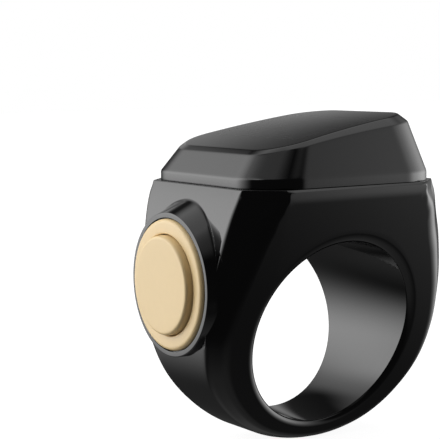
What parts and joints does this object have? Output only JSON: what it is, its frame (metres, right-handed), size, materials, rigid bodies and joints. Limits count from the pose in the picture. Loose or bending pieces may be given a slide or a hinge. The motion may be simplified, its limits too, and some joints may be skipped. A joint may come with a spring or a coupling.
{
  "type": "digital tasbih counter",
  "caption": "Finger ring that counts prayers: push button on the side, sloped gloss cap with a lit number display, battery, switch and buzzer inside.",
  "frame": {"origin": "centre of the finger bore, on its axis, midway along the finger", "axes": "+Y along the finger; the push button faces -X; +Z from the finger up through the display cap"},
  "size_m": [0.0322, 0.0246, 0.0353],
  "materials": {
    "black_gloss": "high gloss",
    "smoked_cap": "high gloss, smoked",
    "seal_rubber": "matt",
    "mask_black": "matt",
    "display_light": "lit",
    "panel_glass": "polished",
    "white_plastic": "satin",
    "flex_film": "satin",
    "socket_plastic": "satin",
    "board_green": "solder mask",
    "screw_steel": "turned",
    "chip_black": "moulded",
    "can_metal": "drawn",
    "antenna_ceramic": "glazed",
    "capacitor_brown": "fired",
    "motor_board": "film",
    "rotor_dark": "moulded",
    "weight_metal": "sintered",
    "lead_red": "sleeve",
    "lead_black": "sleeve",
    "foam_grey": "foam",
    "cell_foil": "foil",
    "contact_gold": "plated",
    "magnet_metal": "plated",
    "trim_gold": "satin, pale gold",
    "disc_gold": "satin, pale gold",
    "spring_steel": "drawn wire"
  },
  "bodies": {
    "ring": {"ring_body": "black_gloss", "top_cap": "smoked_cap", "cap_seal": "seal_rubber", "display_mask": "mask_black", "display_strokes": "display_light", "display_panel": "panel_glass", "display_bracket": "white_plastic", "display_flex": "flex_film", "display_socket": "socket_plastic", "main_board": "board_green", "board_screws": "screw_steel", "radio_chip": "chip_black", "charging_chip": "chip_black", "memory_chip": "chip_black", "clock_crystal": "can_metal", "chip_antenna": "antenna_ceramic", "board_capacitors": "capacitor_brown", "motor_base": "motor_board", "motor_can": "can_metal", "motor_shaft": "screw_steel", "motor_leads": "lead_red", "battery_pad": "foam_grey", "battery_cell": "cell_foil", "battery_guard": "board_green", "battery_lead_red": "lead_red", "battery_lead_black": "lead_black", "charge_pads": "contact_gold", "charge_magnets": "magnet_metal", "charge_flex": "flex_film", "button_trim": "trim_gold", "button_seal": "seal_rubber", "button_spring": "spring_steel", "switch_case": "chip_black", "button_board": "board_green", "button_socket": "socket_plastic", "button_flex": "flex_film"},
    "button": {"button_disc": "disc_gold", "switch_plunger": "white_plastic"},
    "motor_rotor_body": {"motor_rotor": "rotor_dark", "motor_weight": "weight_metal"}
  },
  "joints": [
    {"name": "button_press", "type": "slide", "parent": "ring", "child": "button", "axis": [1, 0, 0], "range_m": [0, 0.00035], "stiffness_N_per_m": 1500, "springref_m": -0.0005, "deforming": ["button_spring"]},
    {"name": "motor_spin", "type": "hinge", "parent": "ring", "child": "motor_rotor_body", "pos_m": [0.0052, 0, 0.0163], "axis": [0, 0, 1], "continuous": true}
  ]
}
